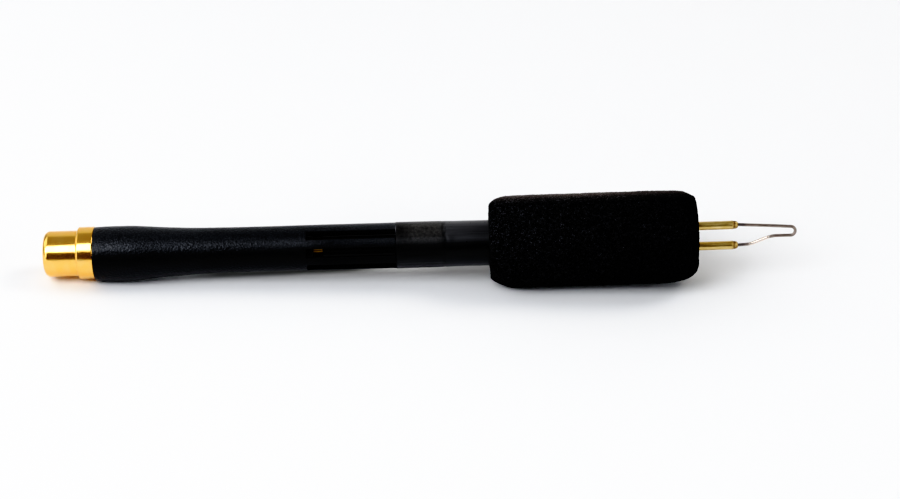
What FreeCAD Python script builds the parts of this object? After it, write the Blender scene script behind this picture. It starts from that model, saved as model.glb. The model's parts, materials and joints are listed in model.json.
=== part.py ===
import FreeCAD, Part
import math
import os

# Pen-style hot wire cutter.
# Frame: the pen's long axis is X. The blade points to +X (front), the socket's mouth to -X (rear),
# +Z is up. Origin: on the pen axis, at the shoulder face where a phono plug's outer ring seats.
# Outlines are (x, radius) and paths (x, z). Parts with a fixed attitude are built with the
# posts in the XZ plane, then rolled. Millimetres throughout.

Vector = FreeCAD.Vector
ORIGIN = Vector(0, 0, 0)
AXIS = Vector(1, 0, 0)

# ---- dimensions shared between parts ----
ROLL = 16.0  # degrees the post plane and the vents are turned about the pen axis

COLLAR_R = 4.80  # socket shell
COLLAR_END = 3.07
BODY_R = 4.10
BODY_END = 7.0
STEM_R = 2.75  # threaded stem, modelled at its major diameter
STEM_END = 11.2
STEM_BORE = 1.95
SHELL_LEN = 6.15  # mouth to shoulder
MOUTH_R = 3.05  # bore of the shell
BORE_STEP = 3.8  # where the shell's bore narrows to the stem's

CONTACT_R = 2.10  # socket centre contact
CONTACT_START = -5.20
CONTACT_STEP = 3.20  # spring tube ends, stem begins
CONTACT_STEM_R = 0.95
CONTACT_END = 13.2
CUP_FLOOR = CONTACT_END - 2.4

TAG_T = 0.40  # ground tag
TAG_R = 3.90
LUG_R = 3.85  # outer face of the lug from the pen axis

SEAM = 59.0  # front sleeve's rear edge
TONGUE_R = 4.00  # vented length where it runs on under the front sleeve
BARREL_END = 68.0
TUBE_R = 3.95
TUBE_BORE = 3.30
TUBE_END = 112.0
SPIGOT_BORE = 2.85

POST_R = 0.795  # 1/16 inch rod
POST_OFFSET = 1.95  # post centre from the pen axis, at the blade end
POST_OFFSET_REAR = 1.15
POST_REAR = 38.0
POST_CUP_END = POST_REAR + 3.5
POST_END = 122.7
WIRE_HOLE_FLOOR = POST_END - 4.2
SLEEVING_R = POST_R + 0.15

WIRE_R = 0.285  # cutting wire
CORE_R = 0.42  # lead core
LEAD_R = 0.75
LUG_CORE_Z = -3.01  # lead core lying on the lug


# ---- helpers ----
def point(x, z):
    return Vector(x, 0, z)


def lines(points):
    ends = [point(*p) for p in points]
    return [Part.makeLine(a, b) for a, b in zip(ends, ends[1:])]


def revolved(edges):
    """Solid of revolution about X from the edges of a closed outline."""
    return Part.Face(Part.Wire(edges)).revolve(ORIGIN, AXIS, 360)


def turned(points):
    """Solid of revolution about X from the corners of an outline, which is closed here."""
    return revolved(lines(points + points[:1]))


def rod(start, end, radius, z=0.0):
    return Part.makeCylinder(radius, end - start, point(start, z), AXIS)


def drilled(shape, start, end, radius, offset):
    """Two holes along X, above and below the axis, right through start to end."""
    for z in (offset, -offset):
        shape = shape.cut(rod(start - 1, end + 1, radius, z))
    return shape


def path(points, radii):
    """Lines and tangent arcs through (x, z) points, with one radius for each inner point."""
    corners = [point(*p) for p in points]
    edges = []
    at = corners[0]
    for before, corner, after, radius in zip(corners, corners[1:], corners[2:], radii):
        way_in = (corner - before).normalize()
        way_out = (after - corner).normalize()
        half_turn = math.acos(max(-1.0, min(1.0, way_in.dot(way_out)))) / 2
        setback = radius * math.tan(half_turn)
        start = corner - way_in * setback
        end = corner + way_out * setback
        inward = ((start + end) * 0.5 - corner).normalize()
        middle = corner + inward * (radius * (1 / math.cos(half_turn) - 1))
        edges.append(Part.makeLine(at, start))
        edges.append(Part.Arc(start, middle, end).toShape())
        at = end
    edges.append(Part.makeLine(at, corners[-1]))
    return edges


def sweep(edges, radius):
    first = edges[0]
    start = first.valueAt(first.FirstParameter)
    way = first.tangentAt(first.FirstParameter)
    ring = Part.Wire([Part.makeCircle(radius, start, way)])
    shape = Part.Wire(edges).makePipeShell([ring], True, False)
    # the pipe can come out inside-out
    if shape.Volume < 0:
        shape.reverse()
    return shape


def hollow_sweep(edges, outer, inner):
    return one(sweep(edges, outer).cut(sweep(edges, inner)))


def at_both_posts(points):
    """A turned shape repeated on the rear centre line of each post."""
    solids = []
    for sign in (1, -1):
        shape = turned(points)
        shape.translate(point(0, sign * POST_OFFSET_REAR))
        solids.append(shape.Solids[0])
    return Part.makeCompound(solids)


def one(shape):
    """The only solid of a boolean result."""
    assert len(shape.Solids) == 1, len(shape.Solids)
    return shape.Solids[0]


def save(name, shape):
    # a compound of several solids is kept as it is
    if shape.ShapeType != "Compound" or len(shape.Solids) == 1:
        shape = shape.removeSplitter()
    # repairs any small defect left by the booleans
    if not shape.isValid():
        shape.fix(1e-5, 1e-5, 1e-4)
    assert shape.isValid(), name
    assert all(solid.Volume > 0 for solid in shape.Solids), name
    shape.exportStep("parts/%s.step" % name)


def save_rolled(name, shape):
    shape = shape.copy()
    shape.rotate(ORIGIN, AXIS, -ROLL)
    save(name, shape)


os.makedirs("parts", exist_ok=True)

# ---- socket shell: mouth rim, plug-side barrel, collar, body and threaded stem ----
SHELL_R = 4.15  # 8.3 mm phono standard
MOUTH_ROUND = 1.0
COLLAR_CHAMFER = 0.25
COLLAR_FRONT_CHAMFER = 0.12
STEM_CHAMFER = 0.35

rim_r = SHELL_R - MOUTH_ROUND
round_end = -SHELL_LEN + MOUTH_ROUND
diagonal = MOUTH_ROUND * math.sqrt(0.5)
mouth_arc = Part.Arc(
    point(-SHELL_LEN, rim_r),
    point(round_end - diagonal, rim_r + diagonal),
    point(round_end, SHELL_R),
).toShape()
save("socket_shell", revolved(lines([(-SHELL_LEN, MOUTH_R), (-SHELL_LEN, rim_r)]) + [mouth_arc] + lines([
    (round_end, SHELL_R), (0.0, SHELL_R),
    (0.0, COLLAR_R - COLLAR_CHAMFER), (COLLAR_CHAMFER, COLLAR_R),
    (COLLAR_END - COLLAR_FRONT_CHAMFER, COLLAR_R), (COLLAR_END, COLLAR_R - COLLAR_FRONT_CHAMFER),
    (COLLAR_END, BODY_R), (BODY_END, BODY_R),
    (BODY_END, STEM_R), (STEM_END - STEM_CHAMFER, STEM_R),
    (STEM_END, STEM_R - STEM_CHAMFER), (STEM_END, STEM_BORE),
    (BORE_STEP, STEM_BORE), (BORE_STEP, MOUTH_R), (-SHELL_LEN, MOUTH_R),
])))

# ---- socket insulator: stepped bush with an entry lip on the mouth side of the contact ----
ENTRY_R = 1.95
LIP_R = 1.75
LIP_BEVEL = 0.15

mouth_face = -SHELL_LEN + 0.40
insulator_end = STEM_END + 0.4
save("socket_insulator", turned([
    (mouth_face, ENTRY_R), (mouth_face, MOUTH_R), (BORE_STEP, MOUTH_R), (BORE_STEP, STEM_BORE),
    (insulator_end, STEM_BORE), (insulator_end, CONTACT_STEM_R),
    (CONTACT_STEP, CONTACT_STEM_R), (CONTACT_STEP, CONTACT_R), (CONTACT_START, CONTACT_R),
    (CONTACT_START, LIP_R), (mouth_face + LIP_BEVEL, LIP_R),
]))

# ---- socket centre contact: split spring tube, stem and solder cup ----
PIN_BORE_R = 1.62  # bore for the plug's 3.2 mm pin
PIN_BORE_END = CONTACT_STEP - 0.45
SPLIT_W = 0.36
SPLIT_LEN = 6.0  # includes 0.5 beyond the open end

contact = turned([
    (CONTACT_START, PIN_BORE_R + 0.10), (CONTACT_START, CONTACT_R), (CONTACT_STEP, CONTACT_R),
    (CONTACT_STEP, CONTACT_STEM_R), (CONTACT_END, CONTACT_STEM_R), (CONTACT_END, CORE_R),
    (CUP_FLOOR, CORE_R), (CUP_FLOOR, 0.0), (PIN_BORE_END, 0.0),
    (PIN_BORE_END, PIN_BORE_R), (CONTACT_START + 0.15, PIN_BORE_R),
])
split = Part.makeBox(
    SPLIT_LEN, 2 * CONTACT_R + 1, SPLIT_W,
    Vector(CONTACT_START - 0.5, -CONTACT_R - 0.5, -SPLIT_W / 2))
save_rolled("socket_centre_contact", one(contact.cut(split)))

# ---- ground tag: ring round the stem with a lug bent to run towards the blade ----
TAG_BORE = 2.80
TAG_FRONT = BODY_END + TAG_T
LUG_W = 1.80
LUG_END = 13.4
LUG_HOLE_R = 0.30

ring = turned([
    (BODY_END, TAG_BORE), (BODY_END, TAG_R), (TAG_FRONT, TAG_R), (TAG_FRONT, TAG_BORE),
])
lug = Part.makeBox(LUG_END - BODY_END, LUG_W, TAG_T, Vector(BODY_END, -LUG_W / 2, -LUG_R))
lug_hole = Part.makeCylinder(LUG_HOLE_R, 2.0, point(LUG_END - 0.9, -TAG_R - 0.5), Vector(0, 0, 1))
save_rolled("socket_ground_tag", one(ring.fuse(lug).removeSplitter().cut(lug_hole)))

# ---- tag nut: hexagon with one flat facing the lug, chamfered at its front ----
NUT_CORNER_R = 6.40 / math.sqrt(3)  # from the size across flats
NUT_END = 9.2

corners = [
    Vector(TAG_FRONT, NUT_CORNER_R * math.sin(angle), NUT_CORNER_R * math.cos(angle))
    for angle in map(math.radians, range(30, 390, 60))
]
hexagon = Part.Face(Part.makePolygon(corners + corners[:1])).extrude(point(NUT_END - TAG_FRONT, 0))
chamfer = turned([
    (TAG_FRONT, 0.0), (TAG_FRONT, NUT_CORNER_R), (NUT_END - 0.35, NUT_CORNER_R),
    (NUT_END, NUT_CORNER_R - 0.40), (NUT_END, 0.0),
])
nut = hexagon.common(chamfer).cut(rod(BODY_END, NUT_END + 1, STEM_R + 0.03))
save_rolled("socket_tag_nut", one(nut))

# ---- rear barrel: bell, waist, vented length and the tongues under the front sleeve ----
BARREL_OUTSIDE = [  # (x, radius), bell to vents
    (3.30, 4.93), (5.80, 5.00), (8.00, 5.03), (10.20, 5.00), (12.50, 4.85), (15.10, 4.64),
    (18.80, 4.43), (22.50, 4.28), (27.00, 4.22), (31.80, 4.20), (37.00, 4.18), (41.80, 4.18),
]
BARREL_BORE = 3.30
VENTED_R = 4.24  # outside of the vented length
VENT_START = 42.5
VENT_W = 1.80
VENT_PITCH = 48.5  # degrees between neighbouring vents of one group of three
VENT_ROUND = 0.3

curve = Part.BSplineCurve()
curve.interpolate([point(*p) for p in BARREL_OUTSIDE])
outline = lines([(COLLAR_END, BODY_R), (COLLAR_END, COLLAR_R), BARREL_OUTSIDE[0]])
outline += [curve.toShape()]
outline += lines([
    BARREL_OUTSIDE[-1], (42.10, VENTED_R), (SEAM, VENTED_R), (SEAM, TONGUE_R),
    (BARREL_END, TONGUE_R), (BARREL_END, BARREL_BORE + 0.12), (BARREL_END - 0.3, BARREL_BORE),
    (21.0, BARREL_BORE + 0.05), (12.5, BODY_R), (COLLAR_END, BODY_R),
])
vents = []
for side in (0, 180):
    for step in (-1, 0, 1):
        vent = Part.makeBox(
            BARREL_END + 1 - VENT_START, 4.0, VENT_W, Vector(VENT_START, -6.0, -VENT_W / 2))
        # round the corners of the vent's rear end
        vent = vent.makeFillet(VENT_ROUND, [
            edge for edge in vent.Edges
            if abs(edge.BoundBox.XMax - VENT_START) < 1e-6 and edge.BoundBox.YLength > 3
        ])
        vent.rotate(ORIGIN, AXIS, side + step * VENT_PITCH)
        vents.append(vent)
save_rolled("rear_barrel", one(revolved(outline).cut(vents)))

# ---- front tube: stiff tube, spigoted into the rear barrel ----
SPIGOT_R = 3.28
SPIGOT_START = 62.0
TUBE_STEP = 70.0  # where the spigot's bore opens to the tube's

save("front_tube", turned([
    (SPIGOT_START, SPIGOT_BORE), (SPIGOT_START, SPIGOT_R), (BARREL_END, SPIGOT_R),
    (BARREL_END, TUBE_R), (TUBE_END, TUBE_R), (TUBE_END, TUBE_BORE),
    (TUBE_STEP, TUBE_BORE), (TUBE_STEP, SPIGOT_BORE),
]))

# ---- front sleeve: shrunk over the tongues and the front tube, curled over the tube's end ----
SLEEVE_R_REAR = 4.30
SLEEVE_R = 4.24
SLEEVE_END = 112.35
SLEEVE_LIP_R = 3.45

save("front_sleeve", turned([
    (SEAM, TONGUE_R), (SEAM, SLEEVE_R_REAR - 0.06), (SEAM + 0.10, SLEEVE_R_REAR),
    (67.0, SLEEVE_R_REAR - 0.02), (69.5, SLEEVE_R + 0.01), (75.0, SLEEVE_R),
    (TUBE_END, SLEEVE_R), (SLEEVE_END, TUBE_R), (SLEEVE_END, SLEEVE_LIP_R),
    (TUBE_END, SLEEVE_LIP_R), (TUBE_END, TUBE_R), (BARREL_END, TUBE_R), (BARREL_END, TONGUE_R),
]))

# ---- front plug and rear spacer: insulating discs that locate the posts ----
PLUG_START = 104.0
PLUG_END = 113.0
PLUG_CHAMFER = 0.3
SPACER_START = 63.0
SPACER_END = 65.5

plug = turned([
    (PLUG_START, 0.0), (PLUG_START, TUBE_BORE), (PLUG_END - PLUG_CHAMFER, TUBE_BORE),
    (PLUG_END, TUBE_BORE - PLUG_CHAMFER), (PLUG_END, 0.0),
])
save_rolled("front_plug", one(drilled(plug, PLUG_START, PLUG_END, POST_R, POST_OFFSET)))
spacer = turned([
    (SPACER_START, 0.0), (SPACER_START, SPIGOT_BORE), (SPACER_END, SPIGOT_BORE), (SPACER_END, 0.0),
])
save_rolled("rear_spacer", one(
    drilled(spacer, SPACER_START, SPACER_END, SLEEVING_R, POST_OFFSET_REAR)))

# ---- posts: shallow joggle, solder cup behind, crimped nose in front; and their sleeving ----
JOGGLE_START = 67.0
JOGGLE_END = 77.0
JOGGLE_BEND_R = 15.0
NOSE_START = 121.3
NOSE = [  # (x, radius about the post's own centre)
    (NOSE_START, 0.0), (NOSE_START, POST_R), (121.62, POST_R), (121.70, POST_R + 0.03),
    (121.80, 0.69), (121.98, 0.69), (122.08, POST_R - 0.01), (122.24, POST_R - 0.03),
    (122.46, 0.66), (POST_END, 0.47), (POST_END, 0.0),
]
SLEEVING_START = 45.4
SLEEVING_END = 102.5
DENT_X = 120.75
DENT_R = 0.55
DENT_STANDOFF = 0.43  # dent sphere's centre outside the post's surface


def post_path(sign, start, end):
    rear, front = sign * POST_OFFSET_REAR, sign * POST_OFFSET
    points = [(start, rear), (JOGGLE_START, rear), (JOGGLE_END, front), (end, front)]
    return path(points, [JOGGLE_BEND_R] * 2)


for name, sign in (("upper", 1), ("lower", -1)):
    front_z = sign * POST_OFFSET
    post = sweep(post_path(sign, POST_REAR, NOSE_START), POST_R)
    nose = turned(NOSE)
    nose.translate(point(0, front_z))
    post = post.fuse(nose).removeSplitter()
    post = post.cut(rod(WIRE_HOLE_FLOOR, POST_END + 1, WIRE_R, front_z))
    post = post.cut(rod(POST_REAR - 1, POST_CUP_END, CORE_R, sign * POST_OFFSET_REAR))
    # crimp dent on the two sides square to the post plane
    for side in (-1, 1):
        centre = Vector(DENT_X, side * (POST_R + DENT_STANDOFF), front_z)
        post = post.cut(Part.makeSphere(DENT_R, centre))
    save_rolled(name + "_post", post)
    sleeving = post_path(sign, SLEEVING_START, SLEEVING_END)
    save_rolled(name + "_post_insulation", hollow_sweep(sleeving, SLEEVING_R, POST_R))

# ---- cutting wire: upper post, sloping line, round tip, straight edge, stepped return ----
TIP_R = 0.86
TIP_X = 132.56
TIP_Z = 0.42
EDGE_Z = TIP_Z - TIP_R
BEND_X = 123.0  # first bend outside each post
SLOPE_Z = 1.93  # height at BEND_X that sets the slope

slope = math.atan2(TIP_Z + TIP_R - SLOPE_Z, TIP_X - BEND_X)
tip_top = (TIP_X - TIP_R * math.sin(slope), TIP_Z + TIP_R * math.cos(slope))
upper = path([(WIRE_HOLE_FLOOR, POST_OFFSET), (BEND_X, POST_OFFSET), tip_top], [4.0])
tip = Part.Arc(point(*tip_top), point(TIP_X + TIP_R, TIP_Z), point(TIP_X, EDGE_Z)).toShape()
lower = path([
    (TIP_X, EDGE_Z), (128.85, EDGE_Z), (125.00, -1.88),
    (BEND_X, -POST_OFFSET), (WIRE_HOLE_FLOOR, -POST_OFFSET),
], [4.5, 3.0, 3.0])
save_rolled("cutting_wire", sweep(upper + [tip] + lower, WIRE_R))

# ---- leads: socket to posts, each a core with its insulation ----
INSULATION_END = 36.2
LEADS = [  # name, start x, start z, bend xs, end z, bend radius, x where the insulation starts
    ("centre", CUP_FLOOR, 0.0, (17.0, 30.0), POST_OFFSET_REAR, 20.0, 15.6),
    ("return", 11.5, LUG_CORE_Z, (15.0, 27.0), -POST_OFFSET_REAR, 8.0, 14.4),
]


for name, start, start_z, bends, end_z, bend_r, strip in LEADS:
    middle = [(bends[0], start_z), (bends[1], end_z)]
    core = path([(start, start_z)] + middle + [(POST_CUP_END, end_z)], [bend_r] * 2)
    save_rolled(name + "_lead_core", sweep(core, CORE_R))
    cover = path([(strip, start_z)] + middle + [(INSULATION_END, end_z)], [bend_r] * 2)
    save_rolled(name + "_lead_insulation", hollow_sweep(cover, LEAD_R, CORE_R))

# ---- solder at the socket: a fillet on the contact's cup, a blob on the tag's lug ----
BLOB = [  # (x, radius about the blob's own centre)
    (11.62, 0.0), (11.66, 0.35), (11.9, 0.56), (12.4, 0.66), (12.9, 0.60), (13.3, 0.35), (13.35, 0.0),
]

cup_fillet = turned([
    (CONTACT_END, CORE_R), (CONTACT_END, 0.88), (CONTACT_END + 0.35, 0.70),
    (CONTACT_END + 1.0, 0.46), (CONTACT_END + 1.0, CORE_R),
])
blob = turned(BLOB)
blob.translate(point(0, LUG_CORE_Z - 0.05))
above_lug = Part.makeBox(6, 4, 3, Vector(9.0, -2, -LUG_R + TAG_T))
blob = one(blob.common(above_lug).cut(rod(9.0, 13.5, CORE_R, LUG_CORE_Z)))
save_rolled("socket_solder_joints", Part.makeCompound([cup_fillet.Solids[0], blob]))

# ---- solder in the posts' rear cups ----
save_rolled("post_solder_joints", at_both_posts([
    (POST_REAR, CORE_R), (POST_REAR, 0.76), (POST_REAR - 0.3, 0.60),
    (POST_REAR - 0.8, 0.46), (POST_REAR - 0.8, CORE_R),
]))

# ---- shrink tubes over the joints of leads and posts ----
SHRINK_R = 1.00
SHRINK_BORE = LEAD_R + 0.02  # over the lead
SHRINK_START = 35.0
SHRINK_END = 43.6

save_rolled("joint_sleeves", at_both_posts([
    (SHRINK_START, SHRINK_BORE), (SHRINK_START, LEAD_R + 0.20),
    (POST_REAR - 1.2, SHRINK_R - 0.02), (POST_REAR, SHRINK_R),
    (SHRINK_END - 0.15, SHRINK_R), (SHRINK_END, SHRINK_R - 0.10), (SHRINK_END, POST_R),
    (POST_REAR - 0.9, POST_R), (POST_REAR - 1.6, SHRINK_BORE),
]))

# ---- foam grip: round tube with soft shoulders, free to slide on the front sleeve ----
GRIP_OUTSIDE = [  # (x, radius), rear face to front face
    (76.35, 7.25), (76.80, 7.75), (77.60, 8.20), (79.30, 8.55), (82.00, 8.72), (86.00, 8.75),
    (106.00, 8.75), (110.50, 8.70), (113.00, 8.45), (114.10, 7.95), (114.75, 7.25),
]
GRIP_BORE = 4.33

grip_bore = [(GRIP_OUTSIDE[-1][0], GRIP_BORE), (GRIP_OUTSIDE[0][0], GRIP_BORE)]
save("foam_grip", turned(GRIP_OUTSIDE + grip_bore))
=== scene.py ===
# A cutting pen: a gold socket at the rear, a black vented barrel, a shrink sleeve, a foam grip,
# and two brass posts that hold a bent wire at the tip.
# The pen's axis is the X axis, from the socket near x = 0 to the tip at +X. Z is up, and the
# camera looks from -Y and above. Shapes are modelled in mm and made in metres.
import itertools
import json
import math

import bpy
import numpy as np
from mathutils import Matrix, Vector


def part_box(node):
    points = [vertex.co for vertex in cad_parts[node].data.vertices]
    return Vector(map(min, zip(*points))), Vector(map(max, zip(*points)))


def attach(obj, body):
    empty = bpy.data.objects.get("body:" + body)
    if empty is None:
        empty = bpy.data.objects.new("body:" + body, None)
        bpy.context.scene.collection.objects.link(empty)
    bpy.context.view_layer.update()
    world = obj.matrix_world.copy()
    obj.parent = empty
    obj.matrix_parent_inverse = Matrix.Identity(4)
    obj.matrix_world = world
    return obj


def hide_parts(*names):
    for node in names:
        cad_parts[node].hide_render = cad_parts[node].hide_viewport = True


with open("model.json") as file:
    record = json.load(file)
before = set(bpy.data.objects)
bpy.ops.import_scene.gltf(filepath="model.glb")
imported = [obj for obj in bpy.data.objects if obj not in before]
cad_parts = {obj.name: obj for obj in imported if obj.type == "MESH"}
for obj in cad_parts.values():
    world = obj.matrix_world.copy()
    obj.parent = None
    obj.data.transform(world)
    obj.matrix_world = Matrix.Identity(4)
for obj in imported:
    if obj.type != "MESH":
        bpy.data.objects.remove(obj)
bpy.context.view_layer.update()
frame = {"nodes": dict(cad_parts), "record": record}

PEN, GRIP = "pen", "grip"
ROLL = math.radians(16.0)  # roll of the post plane and the vents about the pen axis
EYE = math.radians(32.0)  # camera elevation

VIEW_UP = np.array([0.0, math.sin(EYE), math.cos(EYE)])  # square to the pen, up in the view
ACROSS = np.array([0.0, math.sin(ROLL), math.cos(ROLL)])  # in the post plane, across the pen
SQUARE = np.array([0.0, -math.cos(ROLL), math.sin(ROLL)])  # out of that plane, to the camera side


def span(node):
    """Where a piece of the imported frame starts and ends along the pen, in mm."""
    low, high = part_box(node)
    return low.x * 1000, high.x * 1000


MOUTH, STEM_END = span("socket_shell")
SEAM, SLEEVE_END = span("front_sleeve")
FOAM_REAR, FOAM_FRONT = span("foam_grip")
POST_REAR, POST_END = span("upper_post")
WIRE_REAR, TIP_END = span("cutting_wire")

# ------------------------------------------------------------ noise, seeded by position only


def hashed(ix, iy, iz, seed):
    """A scattered value in 0..1 for each whole-number place."""
    n = (
        (ix.astype(np.int64) * 73856093)
        ^ (iy.astype(np.int64) * 19349663)
        ^ (iz.astype(np.int64) * 83492791)
    )
    n = (n ^ (seed * 2654435761)) & 0xFFFFFFFF
    n = ((n ^ (n >> 13)) * 1274126177) & 0xFFFFFFFF
    n ^= n >> 16
    return (n & 0xFFFFFF) / float(0x1000000)


def soft(points, size, seed):
    """Smooth value noise in -1..1, with features of that size (mm, or one per axis)."""
    scaled = points / np.asarray(size, float)
    base = np.floor(scaled).astype(np.int64)
    part = scaled - base
    part = part * part * (3 - 2 * part)
    ends = (1 - part, part)
    total = 0.0
    for i, j, k in itertools.product((0, 1), repeat=3):
        weight = ends[i][:, 0] * ends[j][:, 1] * ends[k][:, 2]
        total = total + weight * hashed(*(base + (i, j, k)).T, seed)
    return 2 * total - 1


def cells(points, size, seed):
    """Distances to the nearest and second nearest of scattered points, in units of size."""
    scaled = points / np.asarray(size, float)
    base = np.floor(scaled).astype(np.int64)
    nearest = np.full(len(points), 9.0)
    second = np.full(len(points), 9.0)
    for shift in itertools.product((-1, 0, 1), repeat=3):
        cell = base + shift
        offsets = [
            cell[:, axis] + hashed(*cell.T, seed + axis + 1) - scaled[:, axis]
            for axis in range(3)
        ]
        distance = np.sqrt(sum(offset * offset for offset in offsets))
        second = np.minimum(second, np.maximum(nearest, distance))
        nearest = np.minimum(nearest, distance)
    return nearest, second


# ------------------------------------------------------------ curves and places


def step(start, end, x):
    """Smooth rise from 0 at start to 1 at end."""
    part = np.clip((x - start) / (end - start), 0, 1)
    return part * part * (3 - 2 * part)


def lookup(x, table):
    """Straight-line reading of a table of (x, value)."""
    stations, values = zip(*table)
    return np.interp(x, stations, values)


def smooth_curve(stations, values, x):
    """Smooth curve through the table's points."""
    slope = np.gradient(values, stations)
    i = np.clip(np.searchsorted(stations, x) - 1, 0, len(stations) - 2)
    gap = stations[i + 1] - stations[i]
    t = (x - stations[i]) / gap
    return (
        (2 * t**3 - 3 * t**2 + 1) * values[i] + (t**3 - 2 * t**2 + t) * gap * slope[i]
        + (-2 * t**3 + 3 * t**2) * values[i + 1] + (t**3 - t**2) * gap * slope[i + 1]
    )


def turn(count):
    """Angles once round the pen."""
    return np.linspace(0, 2 * math.pi, count, endpoint=False)


def around(x, radius, angle):
    """Points about the pen axis: angle 0 is level at the camera side (-Y), 90 degrees is up."""
    return np.stack([x, -radius * np.cos(angle), radius * np.sin(angle)], -1)


def lattice(stations, angles):
    """Station and angle of every point of a grid, row by row."""
    rows, columns = np.meshgrid(stations, angles, indexing="ij")
    return rows.ravel(), columns.ravel()


def lowness(angle):
    """1 on the side that faces down in the view, -1 on the side that faces up."""
    return np.cos(angle) * math.sin(EYE) - np.sin(angle) * math.cos(EYE)


def in_post_plane(line):
    """(x, across) points as places in the post plane."""
    x, across = line.T
    return np.stack([x, across * ACROSS[1], across * ACROSS[2]], -1)


# how far the soft grip and the posts' free ends stand off the straight line: (x, lift)
SPRING = [(76.0, 0.0), (84.0, 0.06), (104.0, 0.13), (118.0, 0.13), (133.7, 0.26)]


def sprung(points):
    return points + lookup(points[:, 0], SPRING)[:, None] * VIEW_UP


# ------------------------------------------------------------ meshes


def signed_volume(points, face_sets):
    total = 0.0
    for faces in face_sets:
        for k in range(1, faces.shape[1] - 1):
            a, b, c = points[faces[:, 0]], points[faces[:, k]], points[faces[:, k + 1]]
            total += float(np.einsum("ij,ij->i", a, np.cross(b, c)).sum())
    return total


def split_thin(quads):
    """Quads that keep four corners, and triangles from those that welding left with three."""
    following = np.roll(quads, -1, axis=1)
    thin = (quads == following).any(axis=1)
    triangles = []
    for quad in quads[thin]:
        corners = list(dict.fromkeys(quad.tolist()))
        if len(corners) == 3:
            triangles.append(corners)
    return [quads[~thin]] + ([np.array(triangles)] if triangles else [])


def build(name, points, face_sets, node, slot, body=PEN, sharp=None):
    """One welded mesh, wound outwards, from points in mm and arrays of quads or triangles.

    node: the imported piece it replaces. sharp: the angle in degrees above which edges are sharp."""
    key = np.round(points * 1e5).astype(np.int64)
    _, first, welded = np.unique(key, axis=0, return_index=True, return_inverse=True)
    welded = welded.reshape(-1)
    points = points[first]
    sets = []
    for faces in face_sets:
        faces = welded[faces]
        sets += split_thin(faces) if faces.shape[1] == 4 else [faces]
    sets = [faces for faces in sets if len(faces)]
    if signed_volume(points, sets) < 0:
        sets = [faces[:, ::-1] for faces in sets]
    loops = np.concatenate([faces.reshape(-1) for faces in sets])
    sizes = np.concatenate([np.full(len(faces), faces.shape[1]) for faces in sets])
    starts = np.concatenate([[0], np.cumsum(sizes)[:-1]])
    mesh = bpy.data.meshes.new(name)
    mesh.vertices.add(len(points))
    mesh.vertices.foreach_set("co", (points * 0.001).astype(np.float32).ravel())
    mesh.loops.add(len(loops))
    mesh.loops.foreach_set("vertex_index", loops.astype(np.int32))
    mesh.polygons.add(len(sizes))
    mesh.polygons.foreach_set("loop_start", starts.astype(np.int32))
    mesh.polygons.foreach_set("loop_total", sizes.astype(np.int32))
    mesh.polygons.foreach_set("use_smooth", np.full(len(sizes), True))
    mesh.update(calc_edges=True)
    mesh.validate()
    if sharp is not None:
        mesh.set_sharp_from_angle(angle=math.radians(sharp))
    piece = bpy.data.objects.new(name, mesh)
    bpy.context.scene.collection.objects.link(piece)
    mesh.materials.append(MATERIALS[slot])
    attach(piece, body)
    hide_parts(node)


def grid_faces(rows, columns):
    """Quads of a grid that closes on itself across its columns."""
    i = np.arange(rows - 1)[:, None]
    j = np.arange(columns)[None, :]
    k = (j + 1) % columns
    corners = [i * columns + j, i * columns + k, (i + 1) * columns + k, (i + 1) * columns + j]
    return np.stack(corners, -1).reshape(-1, 4)


def refine(outline, gap):
    """The same (x, radius) outline with no stretch longer than gap."""
    fine = [outline[0]]
    for start, end in zip(outline, outline[1:]):
        n = max(1, int(math.ceil(math.dist(start, end) / gap)))
        fine += [
            (start[0] + (end[0] - start[0]) * k / n, start[1] + (end[1] - start[1]) * k / n)
            for k in range(1, n + 1)
        ]
    return fine


def eased(outline, radius, parts=3):
    """A closed (x, radius) outline with each corner rounded, so that edges catch the light."""
    rounded = []
    for i in range(len(outline)):
        before, corner, after = (
            np.array(outline[k % len(outline)], float) for k in (i - 1, i, i + 1)
        )
        back, ahead = before - corner, after - corner
        back_length, ahead_length = np.linalg.norm(back), np.linalg.norm(ahead)
        cosine = float(back @ ahead / max(back_length * ahead_length, 1e-12))
        if cosine < -0.96 or back_length < 1e-9 or ahead_length < 1e-9:
            rounded.append(tuple(corner))
            continue
        cut = min(radius, 0.45 * back_length, 0.45 * ahead_length)
        start = corner + back / back_length * cut
        end = corner + ahead / ahead_length * cut
        for k in range(parts + 1):
            t = k / parts
            rounded.append(tuple((1 - t) ** 2 * start + 2 * t * (1 - t) * corner + t * t * end))
    return rounded


def tube(line, radii, seg):
    """Points and face sets of a capped round sweep along (x, across) points in the post plane."""
    centres = in_post_plane(line)
    heading = np.gradient(centres, axis=0)
    heading /= np.linalg.norm(heading, axis=1)[:, None]
    side = np.cross(heading, SQUARE)
    side /= np.linalg.norm(side, axis=1)[:, None]
    return sweep(centres, side, radii, seg)


def sweep(centres, side, radii, seg):
    """Rings about the centres, spread along SQUARE and each centre's own side direction."""
    angles = turn(seg)
    ring = (
        np.cos(angles)[None, :, None] * SQUARE
        + np.sin(angles)[None, :, None] * side[:, None, :]
    )
    points = (centres[:, None, :] + ring * radii[:, None, None]).reshape(-1, 3)
    points = np.vstack([points, centres[:1], centres[-1:]])
    rows = len(centres)
    j = np.arange(seg)
    k = (j + 1) % seg
    start_cap = np.stack([j, k, np.full(seg, rows * seg)], -1)[:, ::-1]
    last = (rows - 1) * seg
    end_cap = np.stack([last + j, last + k, np.full(seg, rows * seg + 1)], -1)
    return points, [grid_faces(rows, seg), start_cap, end_cap]


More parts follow.
